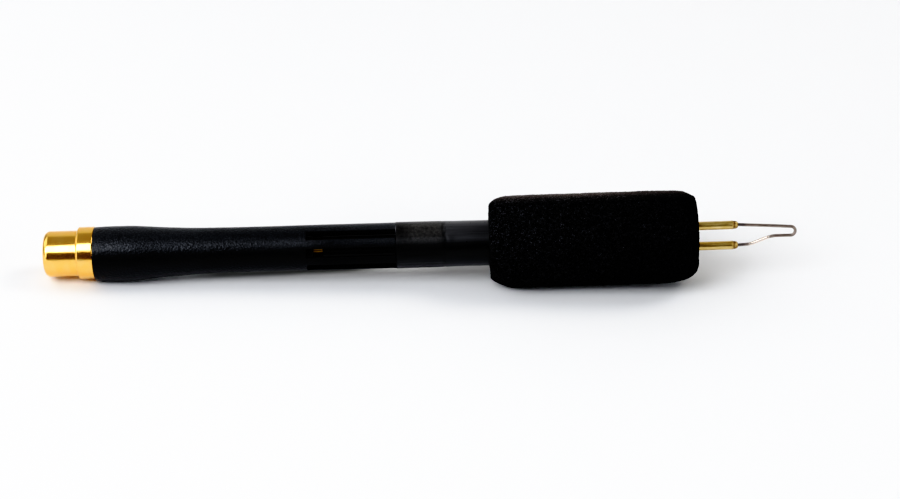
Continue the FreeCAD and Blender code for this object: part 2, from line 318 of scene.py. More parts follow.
def bend_path(corners, radii, gap):
    """Straight lines and tangent arcs through (x, across) corners, sampled every gap mm."""
    corners = [np.array(corner, float) for corner in corners]
    path = [corners[0]]

    def line_to(end):
        start = path[-1]
        n = max(1, int(np.linalg.norm(end - start) / gap))
        for k in range(1, n + 1):
            path.append(start + (end - start) * k / n)

    for before, corner, after, radius in zip(corners, corners[1:], corners[2:], radii):
        arriving = (corner - before) / np.linalg.norm(corner - before)
        leaving = (after - corner) / np.linalg.norm(after - corner)
        bend = math.acos(float(np.clip(arriving @ leaving, -1, 1)))
        cut = radius * math.tan(bend / 2)
        line_to(corner - arriving * cut)
        left = 1.0 if arriving[0] * leaving[1] - arriving[1] * leaving[0] > 0 else -1.0
        normal = np.array([-arriving[1], arriving[0]])
        centre = corner - arriving * cut + left * radius * normal
        spoke = corner - arriving * cut - centre
        n = max(3, int(radius * bend / (gap * 0.6)))
        for k in range(1, n + 1):
            angle = left * bend * k / n
            cosine, sine = math.cos(angle), math.sin(angle)
            path.append(centre + np.array([[cosine, -sine], [sine, cosine]]) @ spoke)
    line_to(corners[-1])
    return np.array(path)


# ------------------------------------------------------------ node graphs


class Graph:
    """Short calls for adding and linking the nodes of a tree. Values may be sockets."""

    def __init__(self, tree):
        self.tree = tree

    def set(self, node, socket, value):
        target = node.inputs[socket]
        if isinstance(value, bpy.types.NodeSocket):
            self.tree.links.new(value, target)
        elif target.type == "RGBA":
            target.default_value = (*value, 1.0)
        else:
            target.default_value = value

    def add(self, kind, inputs=None, **settings):
        node = self.tree.nodes.new(kind)
        for key, value in settings.items():
            setattr(node, key, value)
        for socket, value in (inputs or {}).items():
            self.set(node, socket, value)
        return node

    def math(self, operation, *values, clamp=False):
        inputs = dict(enumerate(values))
        return self.add("ShaderNodeMath", inputs, operation=operation, use_clamp=clamp).outputs[0]

    def times(self, first, second):
        return self.math("MULTIPLY", first, second)

    def plus(self, first, second, clamp=False):
        return self.math("ADD", first, second, clamp=clamp)

    def linear(self, value, gain, base):
        return self.math("MULTIPLY_ADD", value, gain, base)

    def invert(self, value):
        return self.math("SUBTRACT", 1.0, value)

    def ease(self, value, start, end, before=0.0, after=1.0):
        """Smooth change from before, where value is start, to after, where it is end."""
        inputs = {
            "Value": value, "From Min": start, "From Max": end, "To Min": before, "To Max": after,
        }
        node = self.add("ShaderNodeMapRange", inputs, interpolation_type="SMOOTHSTEP")
        return node.outputs[0]

    def ramp(self, factor, stops):
        """stops: (position, grey value or colour)."""
        node = self.add("ShaderNodeValToRGB", {"Fac": factor})
        elements = node.color_ramp.elements
        while len(elements) < len(stops):
            elements.new(0.5)
        for element, (position, color) in zip(elements, stops):
            element.position = position
            element.color = (*(color if isinstance(color, tuple) else (color,) * 3), 1.0)
        return node.outputs["Color"]

    def between(self, factor, start, end):
        """Straight rise from 0 at start to 1 at end."""
        return self.ramp(factor, [(start, 0.0), (end, 1.0)])

    def mix(self, factor, low, high, mode="MIX"):
        inputs = {0: factor, 6: low, 7: high}
        return self.add("ShaderNodeMix", inputs, data_type="RGBA", blend_type=mode).outputs[2]

    def tones(self, factor, over, low, high):
        """From the low colour to the high one as factor crosses the range over."""
        return self.mix(self.between(factor, *over), low, high)


class Surface(Graph):
    """A procedural material. Sizes and places are in mm, in the piece's own frame."""

    INPUTS = {
        "color": "Base Color", "rough": "Roughness", "metal": "Metallic",
        "specular": "Specular IOR Level",
    }

    def __init__(self, name, color, rough, metal=0.0, specular=0.5):
        self.material = bpy.data.materials.new(name)
        self.material.use_nodes = True
        super().__init__(self.material.node_tree)
        self.bsdf = self.tree.nodes["Principled BSDF"]
        self.finish(color=color, rough=rough, metal=metal, specular=specular)
        self.where = self.add("ShaderNodeTexCoord").outputs["Object"]
        self.normal = None

    def finish(self, **inputs):
        for key, value in inputs.items():
            self.set(self.bsdf, self.INPUTS[key], value)

    def scaled(self, size):
        """Texture places for features of that size, one number or one per axis."""
        sizes = size if isinstance(size, tuple) else (size,) * 3
        inputs = {"Vector": self.where, "Scale": tuple(1000.0 / s for s in sizes)}
        return self.add("ShaderNodeMapping", inputs).outputs["Vector"]

    def noise(self, size, detail=3.0, rough=0.55, warp=0.0):
        inputs = {
            "Vector": self.scaled(size), "Scale": 1.0, "Detail": detail, "Roughness": rough,
            "Distortion": warp,
        }
        return self.add("ShaderNodeTexNoise", inputs).outputs["Fac"]

    def voronoi(self, size, feature):
        inputs = {"Vector": self.scaled(size), "Scale": 1.0}
        return self.add("ShaderNodeTexVoronoi", inputs, feature=feature).outputs["Distance"]

    def axis(self, letter):
        """Place along an axis, in metres."""
        return self.add("ShaderNodeSeparateXYZ", {"Vector": self.where}).outputs[letter]

    def upper(self, low, high):
        """0 on the side low in the view, 1 on the high side, between two heights across the pen."""
        height = self.times(self.axis("Z"), math.cos(EYE))
        height = self.linear(self.axis("Y"), gain=math.sin(EYE), base=height)
        return self.ease(height, low / 1000, high / 1000)

    def window(self, start, end, soft, letter="X"):
        """1 between start and end along an axis, falling to 0 over soft."""
        place = self.axis(letter)
        rise = self.ease(place, (start - soft) / 1000, start / 1000)
        fall = self.ease(place, end / 1000, (end + soft) / 1000, before=1.0, after=0.0)
        return self.times(rise, fall)

    def bump(self, height, depth, strength=1.0):
        """Adds relief on top of any earlier relief."""
        inputs = {"Strength": strength, "Distance": depth / 1000.0, "Height": height}
        if self.normal is not None:
            inputs["Normal"] = self.normal
        self.normal = self.add("ShaderNodeBump", inputs).outputs["Normal"]
        self.set(self.bsdf, "Normal", self.normal)


# ------------------------------------------------------------ materials


def gold_material():
    mat = Surface("gold_plate", color=(1.0, 0.60, 0.15), rough=0.16, metal=1.0)
    turned = mat.noise(size=(0.035, 1.6, 1.6), detail=3.0, rough=0.6)  # finest along the axis
    smudge = mat.noise(size=1.7, detail=4.0, rough=0.6, warp=0.6)
    grain = mat.noise(size=0.30, detail=2.0)
    gloss = mat.linear(turned, gain=0.07, base=0.09)
    mat.finish(
        color=mat.tones(smudge, over=(0.30, 0.75), low=(1.0, 0.58, 0.16), high=(0.98, 0.62, 0.22)),
        rough=mat.plus(mat.times(smudge, 0.10), gloss),
    )
    mat.bump(turned, depth=0.0006)
    mat.bump(grain, depth=0.0022)
    mat.bump(mat.noise(size=(2.2, 0.55, 0.55), detail=3.0), depth=0.014)
    return mat.material


def barrel_material():
    mat = Surface(
        "pebbled_black_plastic", color=(0.011, 0.012, 0.014), rough=0.42, specular=0.40
    )
    grain = mat.noise(size=0.16, detail=3.0, rough=0.6)
    pebble = mat.voronoi(size=(0.36, 0.33, 0.33), feature="SMOOTH_F1")
    speck = mat.noise(size=0.24, detail=2.0, rough=0.5)
    tone = mat.noise(size=(5.0, 1.2, 1.2), detail=3.0)
    rubbed = mat.noise(size=(4.2, 2.4, 2.4), detail=5.0, rough=0.65, warp=0.5)
    rubbed = mat.between(rubbed, start=0.38, end=0.66)
    # painted light: a lit copy of the black, with speckles of sheen, for the side high in the view
    painted_lit_tone = mat.tones(
        tone, over=(0.32, 0.7), low=(0.013, 0.0140, 0.0165), high=(0.022, 0.0235, 0.0270)
    )
    painted_lit_tone = mat.tones(speck, over=(0.44, 0.70), low=painted_lit_tone, high=(0.046, 0.049, 0.054))
    # and a painted shade copy for the side low in the view
    painted_shade_tone = mat.tones(
        tone, over=(0.35, 0.7), low=(0.0022, 0.0026, 0.0034), high=(0.0045, 0.005, 0.0062)
    )
    # painted bounce light from the floor: paler towards the underside
    painted_floor_bounce = mat.invert(mat.upper(low=-3.9, high=-1.4))
    painted_shade_tone = mat.mix(painted_floor_bounce, low=painted_shade_tone, high=(0.0105, 0.0110, 0.0140))
    # the painted light of the upper side and the specular level are lower on the tongues between the
    # vents, and a little lower at the waist
    flanks = mat.invert(mat.upper(low=1.9, high=3.2))
    tongues = mat.times(mat.window(start=48.0, end=60.0, soft=7.0), flanks)
    waist = mat.window(start=27.0, end=46.0, soft=7.0)
    painted_light_mask = mat.linear(waist, gain=-0.22, base=mat.linear(tongues, gain=-0.25, base=1.0))
    painted_light_mask = mat.times(mat.upper(low=-1.6, high=1.0), painted_light_mask)
    gloss = mat.linear(grain, gain=0.12, base=mat.linear(tone, gain=0.10, base=0.30))
    shine = mat.linear(tongues, gain=-0.14, base=0.41)
    mat.finish(
        color=mat.mix(painted_light_mask, low=painted_shade_tone, high=painted_lit_tone),
        rough=mat.plus(mat.times(rubbed, -0.06), gloss),
        specular=mat.linear(waist, gain=-0.04, base=shine),
    )
    # the grain is finer towards the vents' front ends
    pebbled = mat.linear(mat.window(start=3.4, end=50.0, soft=6.0), gain=0.8, base=0.2)
    mat.bump(mat.times(pebble, pebbled), depth=-0.065)
    mat.bump(grain, depth=0.014)
    return mat.material


def sleeve_material():
    mat = Surface("shrink_sleeve", color=(0.013, 0.013, 0.015), rough=0.38)
    drawn = mat.noise(size=(9.0, 0.22, 0.22), detail=4.0, rough=0.65)  # lines along the sleeve
    mottle = mat.noise(size=(0.55, 0.48, 0.48), detail=5.0, rough=0.72, warp=0.3)
    over = mat.window(start=59.0, end=66.9, soft=1.8)  # where it lies over the barrel's tongues
    rim = mat.window(start=58.5, end=59.16, soft=0.05)  # the cut edge, where a broken-up painted highlight stands in for the light its lip catches
    broken = mat.noise(size=(0.8, 1.5, 1.5), detail=2.0)
    broken = mat.between(broken, start=0.40, end=0.66)
    # painted light: lit copies of the sleeve's black for the side high in the view, plain and, over
    # the tongues, mottled and paler from 63 mm on
    base = mat.tones(
        drawn, over=(0.35, 0.7), low=(0.051, 0.0505, 0.0530), high=(0.081, 0.0805, 0.0830)
    )
    speckle = mat.between(mottle, start=0.36, end=0.68)
    painted_lit_tone = mat.mix(
        mat.window(start=63.0, end=70.0, soft=3.0),
        low=mat.mix(speckle, low=(0.010, 0.0095, 0.0095), high=(0.042, 0.040, 0.038)),
        high=mat.mix(speckle, low=(0.030, 0.0290, 0.028), high=(0.082, 0.079, 0.075)),
    )
    # and a painted shade copy for the side low in the view
    painted_shade_tone = mat.tones(
        drawn, over=(0.35, 0.7), low=(0.0018, 0.0020, 0.0026), high=(0.0040, 0.0043, 0.0052)
    )
    # painted bounce light from the floor: paler towards the underside
    painted_floor_bounce = mat.invert(mat.upper(low=-3.9, high=-2.0))
    painted_shade_tone = mat.mix(painted_floor_bounce, low=painted_shade_tone, high=(0.0190, 0.0195, 0.0225))
    upper = mat.upper(low=-1.6, high=3.5)
    body = mat.mix(upper, low=painted_shade_tone, high=mat.mix(over, low=base, high=painted_lit_tone))
    # painted shadow: a broken dark line in front of the barrel's end, where the sleeve steps down
    # over it
    painted_step_shadow = mat.between(mat.noise(size=(0.5, 0.9, 0.9), detail=2.0), start=0.36, end=0.56)
    painted_step_shadow = mat.times(mat.window(start=67.75, end=68.15, soft=0.35), painted_step_shadow)
    body = mat.mix(mat.times(painted_step_shadow, 0.60), low=body, high=(0.003, 0.003, 0.004))
    # painted highlight on the cut edge, brighter on the side high in the view
    pale = mat.mix(
        mat.upper(low=1.4, high=3.3),
        low=mat.mix(broken, low=(0.007, 0.007, 0.008), high=(0.034, 0.034, 0.037)),
        high=mat.mix(broken, low=(0.048, 0.048, 0.051), high=(0.135, 0.135, 0.142)),
    )
    dull = mat.times(rim, mat.linear(broken, gain=-0.3, base=1.0))
    gloss = mat.linear(mottle, gain=0.16, base=0.22)
    mat.finish(
        color=mat.mix(rim, low=body, high=pale),
        rough=mat.plus(gloss, mat.times(over, 0.10)),
        specular=mat.linear(dull, gain=-0.46, base=0.48),
    )
    mat.bump(drawn, depth=0.010)
    mat.bump(mat.times(mottle, over), depth=0.045)
    return mat.material


def foam_material():
    mat = Surface("black_foam", color=(0.004, 0.004, 0.004), rough=0.9, specular=0.08)
    pores = mat.voronoi(size=0.42, feature="F1")
    fine = mat.noise(size=0.14, detail=3.0, rough=0.7)
    dust = mat.noise(size=0.12, detail=1.0, rough=0.5)
    worm = mat.noise(size=0.50, detail=2.0, rough=0.5, warp=1.4)
    patch = mat.noise(size=5.0, detail=2.0, rough=0.5)
    # dust and painted light together: paler towards the rear and the top, where the light falls, in
    # patches; the slopes are per metre
    rise = mat.plus(mat.times(mat.axis("Z"), 34.0), mat.linear(patch, gain=0.9, base=2.14))
    dust_and_light = mat.plus(mat.times(mat.axis("X"), -24.0), rise, clamp=True)
    dust_and_light_tone = mat.mix(dust_and_light, low=(0.050, 0.050, 0.055), high=(0.150, 0.150, 0.160))
    skin = mat.tones(fine, over=(0.40, 0.72), low=(0.014, 0.014, 0.0155), high=dust_and_light_tone)
    skin = mat.tones(worm, over=(0.47, 0.60), low=(0.0035, 0.0035, 0.0040), high=skin)
    # painted shade in the pores: darker at their centres
    pore_shade = mat.tones(pores, over=(0.10, 0.55), low=(0.06, 0.06, 0.06), high=(1.0, 1.0, 1.0))
    body = mat.mix(1.0, skin, pore_shade, mode="MULTIPLY")
    # painted sheen: the edge high in the view is painted paler and slightly warm, as the lit fuzz at
    # the outline
    edge = mat.ramp(
        mat.upper(low=6.0, high=8.8),
        stops=[(0.28, 0.0), (0.50, 0.015), (0.76, 0.036), (0.90, 0.078), (0.99, 0.135)],
    )
    warmth = mat.ramp(fine, stops=[(0.30, (0.58, 0.52, 0.48)), (0.70, (1.36, 1.18, 1.06))])
    edge = mat.mix(1.0, edge, warmth, mode="MULTIPLY")
    with_rim_sheen = mat.mix(1.0, body, edge, mode="ADD")
    body = mat.mix(mat.linear(dust_and_light, gain=0.55, base=0.45), low=body, high=with_rim_sheen)
    motes = mat.between(dust, start=0.69, end=0.74)
    motes = mat.times(motes, mat.linear(dust_and_light, gain=0.75, base=0.25))
    mat.finish(color=mat.mix(motes, low=body, high=(0.30, 0.30, 0.31)))
    mat.bump(pores, depth=0.10, strength=0.8)
    mat.bump(fine, depth=0.05, strength=0.8)
    return mat.material


def brass_material():
    mat = Surface("brass_rod", color=(0.70, 0.52, 0.20), rough=0.24, metal=1.0)
    drawn = mat.noise(size=(6.0, 0.07, 0.07), detail=3.0, rough=0.6)
    stain = mat.noise(size=(1.6, 0.7, 0.7), detail=4.0, rough=0.65)
    nose = mat.window(start=122.0, end=123.0, soft=0.6)
    spots = mat.noise(size=0.42, detail=3.0, rough=0.6)
    metal = mat.tones(stain, over=(0.32, 0.72), low=(0.62, 0.44, 0.17), high=(0.76, 0.60, 0.31))
    # painted shade and a painted glint: inside the barrel and sleeve the rod is painted dark, but
    # for a bright painted glint along the camera side
    inside = mat.window(start=30.0, end=72.0, soft=3.0)
    painted_glint = mat.upper(low=-1.12, high=-0.66)
    painted_glint = mat.times(painted_glint, mat.invert(mat.upper(low=0.1, high=0.4)))
    painted_glint = mat.times(painted_glint, mat.window(start=-3.0, end=0.0, soft=0.2, letter="Y"))
    painted_shade_and_glint = mat.mix(painted_glint, low=(0.016, 0.010, 0.004), high=(0.62, 0.44, 0.075))
    metal = mat.mix(inside, low=metal, high=painted_shade_and_glint)
    ring = mat.window(start=121.86, end=122.06, soft=0.12)
    tired = mat.tones(spots, over=(0.40, 0.58), low=(0.16, 0.095, 0.045), high=(0.50, 0.36, 0.16))
    metal = mat.mix(mat.times(nose, 0.85), low=metal, high=tired)
    extra = mat.plus(mat.times(nose, 0.14), mat.times(inside, 0.12))
    gloss = mat.linear(stain, gain=0.14, base=0.22)
    mat.finish(
        color=mat.mix(mat.times(ring, 0.5), low=metal, high=(0.13, 0.075, 0.035)),
        rough=mat.plus(gloss, mat.linear(drawn, gain=0.04, base=extra)),
    )
    mat.bump(drawn, depth=0.0006)
    return mat.material


def wire_material():
    mat = Surface("oxidised_resistance_wire", color=(0.42, 0.36, 0.32), rough=0.30, metal=1.0)
    drawn = mat.noise(size=(3.0, 0.05, 0.05), detail=3.0, rough=0.6)
    oxide = mat.noise(size=(1.0, 0.35, 0.35), detail=4.0, rough=0.6)
    # darker where the wire leaves the posts
    near_posts_dark = mat.window(start=118.0, end=123.6, soft=0.9)
    # painted highlight: a pale stretch on the lower leg's slope, where it would catch the light
    lower_leg = mat.ease(mat.axis("Z"), start=0.0004, end=-0.0002)
    painted_highlight = mat.times(mat.window(start=125.2, end=128.2, soft=0.7), lower_leg)
    metal = mat.tones(oxide, over=(0.30, 0.74), low=(0.31, 0.26, 0.23), high=(0.42, 0.36, 0.32))
    metal = mat.mix(mat.times(painted_highlight, 0.9), low=metal, high=(0.92, 0.80, 0.70))
    polish = mat.linear(drawn, gain=0.06, base=mat.times(painted_highlight, -0.10))
    mat.finish(
        color=mat.mix(mat.times(near_posts_dark, 0.65), low=metal, high=(0.12, 0.115, 0.125)),
        rough=mat.plus(mat.linear(oxide, gain=0.14, base=0.24), polish),
    )
    mat.bump(drawn, depth=0.002)
    mat.bump(oxide, depth=0.004)
    return mat.material


def plain(name, color, other, rough, size=0.8, metal=0.0, depth=0.004, along=1.0):
    """A moulded or cast surface in two tones, stretched along the pen by the factor along."""
    gloss_range = 0.10
    mat = Surface(name, color=color, rough=rough, metal=metal)
    tone = mat.noise(size=(size * along, size, size), detail=4.0, rough=0.6)
    grain = mat.noise(size=(0.10 * along, 0.10, 0.10), detail=2.0)
    mat.finish(
        color=mat.tones(tone, over=(0.34, 0.70), low=color, high=other),
        rough=mat.linear(tone, gain=gloss_range, base=rough - gloss_range / 2),
    )
    mat.bump(grain, depth=depth)
    return mat.material


# by material slot
MATERIALS = {
    "gold_plate": gold_material(),
    "black_barrel": barrel_material(),
    "black_sleeve": sleeve_material(),
    "black_foam": foam_material(),
    "brass_rod": brass_material(),
    "resistance_wire": wire_material(),
}
# the plainer slots: two tones, roughness and what departs from plain()'s defaults
PLAIN = {
    "socket_plastic": ((0.80, 0.78, 0.72), (0.72, 0.69, 0.62), 0.35, {}),
    "tinned_metal": ((0.60, 0.60, 0.60), (0.46, 0.46, 0.47), 0.32, {"metal": 1.0}),
    "nickel_plate": (
        (0.66, 0.63, 0.58), (0.58, 0.55, 0.50), 0.18, {"metal": 1.0, "depth": 0.001},
    ),
    "tube_plastic": ((0.012, 0.012, 0.012), (0.020, 0.020, 0.021), 0.45, {"along": 4.0}),
    "insulating_board": (
        (0.017, 0.013, 0.011), (0.030, 0.023, 0.018), 0.60, {"along": 3.0, "depth": 0.010},
    ),
    "black_sleeving": ((0.010, 0.010, 0.011), (0.018, 0.018, 0.019), 0.30, {"along": 3.0}),
    "copper": ((0.85, 0.46, 0.30), (0.62, 0.30, 0.18), 0.30, {"metal": 1.0, "along": 5.0}),
    "red_insulation": ((0.36, 0.015, 0.012), (0.28, 0.012, 0.010), 0.30, {}),
    "black_insulation": ((0.010, 0.010, 0.010), (0.016, 0.016, 0.016), 0.30, {}),
    "solder": (
        (0.62, 0.62, 0.64), (0.48, 0.48, 0.50), 0.28, {"size": 0.4, "metal": 1.0, "depth": 0.010},
    ),
}
for slot, (color, other, rough, extras) in PLAIN.items():
    MATERIALS[slot] = plain(slot, color, other, rough, **extras)


def dress_packed_pieces():
    """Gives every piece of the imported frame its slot's material."""
    slot_of = {part["node"]: part["material_slot"] for part in frame["record"]["subparts"]}
    for node, piece in frame["nodes"].items():
        material = MATERIALS[slot_of[node]]
        if len(piece.material_slots):
            for material_slot in piece.material_slots:
                material_slot.material = material
        else:
            piece.data.materials.append(material)


# ------------------------------------------------------------ socket

SOCKET_SEG = 192
LIP = MOUTH - 0.16
LIP_DEPTH, LIP_RISE = 1.16, 1.10  # of the quarter-round mouth, along the pen and outwards
# closed outline: (x, radius)
SOCKET_OUTLINE = [(LIP, 3.05)] + [
    (LIP + LIP_DEPTH * (1 - math.cos(angle)), 3.18 + LIP_RISE * math.sin(angle))
    for angle in np.radians(np.linspace(0, 90, 27))
] + [
    (-0.10, 4.28), (0.0, 4.32), (0.02, 4.52), (0.05, 4.66), (0.20, 4.82), (0.32, 4.86),
    (2.90, 4.86), (3.00, 4.82), (3.07, 4.72), (3.07, 4.10), (7.0, 4.10), (7.0, 2.75),
    (STEM_END - 0.35, 2.75), (STEM_END, 2.40), (STEM_END, 1.95), (3.8, 1.95), (3.8, 3.05),
]


def socket_shell():
    outline = eased(SOCKET_OUTLINE, radius=0.04)
    outline.append(outline[0])
    stations, radii = np.array(outline).T
    x, angle = lattice(stations, turn(SOCKET_SEG))
    points = around(x, np.repeat(radii, SOCKET_SEG), angle)
    # the shell stands up to 0.2 mm high in the barrel; its bore and its spigot stay central
    radius = np.hypot(points[:, 1], points[:, 2])
    spigot = (x > 3.0) & (radius < 4.3)
    lift = np.where(x < 0.03, 0.15, 0.20) * step(3.1, 3.6, radius) * np.where(spigot, 0.0, 1.0)
    points = points + lift[:, None] * VIEW_UP
    faces = grid_faces(len(outline), SOCKET_SEG)
    build("gold_socket_shell", points, [faces], "socket_shell", "gold_plate", sharp=32)


# ------------------------------------------------------------ rear barrel, with six long vents

# (x, outer radius)
BARREL_OUTLINE = np.array([
    (3.07, 4.80), (3.10, 4.87), (3.18, 4.91), (3.32, 4.93), (4.40, 4.975), (5.80, 5.00),
    (8.00, 5.03), (10.20, 5.00), (12.50, 4.85), (15.10, 4.64), (18.80, 4.43), (22.50, 4.28),
    (27.0, 4.22), (31.8, 4.20), (37.0, 4.19), (41.8, 4.225), (43.0, 4.23), (59.0, 4.24),
])
SMOOTH_PART = slice(4, 16)  # the stations between which the outline is a smooth curve
TONGUE_RADIUS, TONGUE_BORE = 4.24, 3.30  # outer and inner radius between the vents
BARREL_BORE = [(3.07, 4.10), (12.5, 4.10), (21.0, 3.35), (59.0, TONGUE_BORE)]  # (x, radius)
BELL_SAG = [(3.07, 0.20), (10.0, 0.20), (16.0, 0.13), (28.0, 0.0)]  # (x, fullness below)
BARREL_STEP, RIB_STEP = 0.17, 0.165  # cell length, and cell width on the ribs

VENT_START, VENT_HALF, VENT_PITCH = 42.5, 0.90, math.radians(48.5)
VENT_CELLS = 11
RIM_WIDTH, RIM_DROP = 0.06, 0.055  # the vents' rims are slightly rounded
# rounding of a vent's rear corners, row by row: (shift along the pen, shift inwards)
CORNER_SHIFTS = [(0.088, 0.088), (0.03, 0.045), (0.0, 0.012)]
VENT_CENTRES = sorted(
    (ROLL + side + k * VENT_PITCH) % (2 * math.pi) for side in (0.0, math.pi) for k in (-1, 0, 1)
)


def barrel_radius(x):
    stations, radii = BARREL_OUTLINE.T
    smooth_x, smooth_radii = stations[SMOOTH_PART], radii[SMOOTH_PART]
    start, end = smooth_x[0], smooth_x[-1]
    body = smooth_curve(smooth_x, smooth_radii, np.clip(x, start, end))
    return np.where((x > start) & (x < end), body, np.interp(x, stations, radii))


def pebble_grain(points, x):
    """Moulded grain on the outside, faded out at the two ends."""
    nearest, second = cells(points, (0.60, 0.52, 0.52), seed=11)
    coarse = np.clip(second - nearest, 0, 0.55) / 0.55
    nearest, second = cells(points, (0.36, 0.34, 0.34), seed=23)
    fine = np.clip(second - nearest, 0, 0.5) / 0.5
    swell = soft(points, (2.6, 1.5, 1.5), seed=5)
    fade = step(3.1, 3.7, x) * (1 - 0.65 * step(44.0, 50.0, x)) * (1 - step(58.4, 58.95, x))
    return fade * (0.015 * (coarse - 0.5) + 0.017 * (fine - 0.5) + 0.010 * swell)


def barrel_columns():
    """Outer and inner angle of each column, and whether a vent lies between it and the next."""
    half_outer = math.asin(VENT_HALF / TONGUE_RADIUS)
    half_inner = math.asin(VENT_HALF / TONGUE_BORE)
    lip = RIM_WIDTH / TONGUE_RADIUS
    inset = np.linspace(-half_outer + lip, half_outer - lip, VENT_CELLS - 1)
    vent = np.concatenate([[-half_outer], inset, [half_outer]])
    outer, inner, in_vent = [], [], []
    for centre, after in zip(VENT_CENTRES, VENT_CENTRES[1:] + [VENT_CENTRES[0] + 2 * math.pi]):
        outer += list(centre + vent)
        inner += list(centre + vent * (half_inner / half_outer))
        in_vent += [True] * VENT_CELLS + [False]
        # the rib up to the next vent, in cells that are about square
        outer_width = (after - half_outer) - (centre + half_outer)
        inner_width = (after - half_inner) - (centre + half_inner)
        arc = outer_width * TONGUE_RADIUS
        rib_cells = max(6, int(round(arc / RIB_STEP)))
        part = np.linspace(RIM_WIDTH / arc, 1 - RIM_WIDTH / arc, rib_cells - 1)
        outer += list(centre + half_outer + part * outer_width)
        inner += list(centre + half_inner + part * inner_width)
        in_vent += [False] * len(part)
    return np.array(outer), np.array(inner), np.array(in_vent)


def round_vent_corners(grid, radius, first, edge, in_vent):
    """Moves the first rows along the vents' sides so that the rear corners are rounded."""
    for j in np.where(edge)[0]:
        inward = 1 if in_vent[j] else -1
        for i, (forward, sideways) in enumerate(CORNER_SHIFTS, first):
            x, y, z = grid[i, j]
            angle = math.atan2(z, -y) + inward * sideways / radius
            reach = math.hypot(y, z)
            grid[i, j] = (x + forward, -reach * math.cos(angle), reach * math.sin(angle))


def barrel_faces(rows, columns, first, edge, in_vent):
    """Outer faces, inner faces and the walls that join them."""
    inside = rows * columns  # offset from an outer point to its inner one
    grid = np.arange(inside).reshape(rows, columns)
    solid = ~(in_vent[None, :] & (np.arange(rows - 1) >= first)[:, None])
    outer = grid_faces(rows, columns)[solid.ravel()]

    def wall(p, q):
        return (p, q, q + inside, p + inside)

    walls = []
    for j in np.where(edge)[0]:  # vent sides
        for i in range(first, rows - 1):
            side = wall(grid[i, j], grid[i + 1, j])
            walls.append(side if in_vent[j] else side[::-1])
    for j in np.where(in_vent)[0]:  # vent rear ends
        walls.append(wall(grid[first, (j + 1) % columns], grid[first, j]))
    for j in range(columns):  # rear ring, and the ribs' front ends
        k = (j + 1) % columns
        walls.append(wall(grid[0, k], grid[0, j]))
        if not in_vent[j]:
            walls.append(wall(grid[-1, j], grid[-1, k]))
    return [outer, outer[:, ::-1] + inside, np.array(walls)]


def rear_barrel():
    stations = np.concatenate([
        BARREL_OUTLINE[:4, 0], np.arange(3.5, VENT_START - 0.1, BARREL_STEP),
        [VENT_START + shift for shift in (-0.05, 0.0, 0.06, 0.15, 0.30)],
        np.arange(VENT_START + 0.47, SEAM - 0.1, BARREL_STEP), [SEAM - 0.03, SEAM],
    ])
    outer_angles, inner_angles, in_vent = barrel_columns()
    rows, columns = len(stations), len(in_vent)
    vent_rows = stations >= VENT_START - 1e-9
    first = np.where(vent_rows)[0][0]
    edge = in_vent ^ np.roll(in_vent, 1)
    rim = np.zeros((rows, columns))
    rim[np.ix_(vent_rows, edge)] = 1
    rim[first, in_vent | np.roll(in_vent, 1)] = 1

    x, angle = lattice(stations, outer_angles)
    radius = barrel_radius(x)
    relief = pebble_grain(around(x, radius, angle), x) - RIM_DROP * rim.ravel()
    sag = lookup(x, BELL_SAG) * step(0.2, 0.95, lowness(angle))
    outer = around(x, radius + relief + sag, angle).reshape(rows, columns, 3)
    x, angle = lattice(stations, inner_angles)
    inner = around(x, lookup(x, BARREL_BORE), angle).reshape(rows, columns, 3)
    round_vent_corners(outer, TONGUE_RADIUS, first, edge, in_vent)
    round_vent_corners(inner, TONGUE_BORE, first, edge, in_vent)

    points = np.vstack([outer.reshape(-1, 3), inner.reshape(-1, 3)])
    faces = barrel_faces(rows, columns, first, edge, in_vent)
    build("pebbled_rear_barrel", points, faces, "rear_barrel", "black_barrel", sharp=38)


# ------------------------------------------------------------ front sleeve, over the tongues

SLEEVE_SEG = 200
# (x, radius), outside and inside
SLEEVE_OUTLINE = [
    (SEAM, 4.21), (SEAM + 0.03, 4.27), (SEAM + 0.08, 4.31), (SEAM + 0.16, 4.325), (67.0, 4.30),
    (68.6, 4.285), (70.0, 4.245), (75.0, 4.24), (111.8, 4.24), (112.0, 4.22), (112.12, 4.17),
    (112.24, 4.09), (112.33, 4.00), (SLEEVE_END, 3.92),
]
SLEEVE_BORE = [
    (SEAM, 4.00), (67.99, 4.00), (68.01, 3.95), (112.0, 3.95), (112.01, 3.45), (SLEEVE_END, 3.45),
]


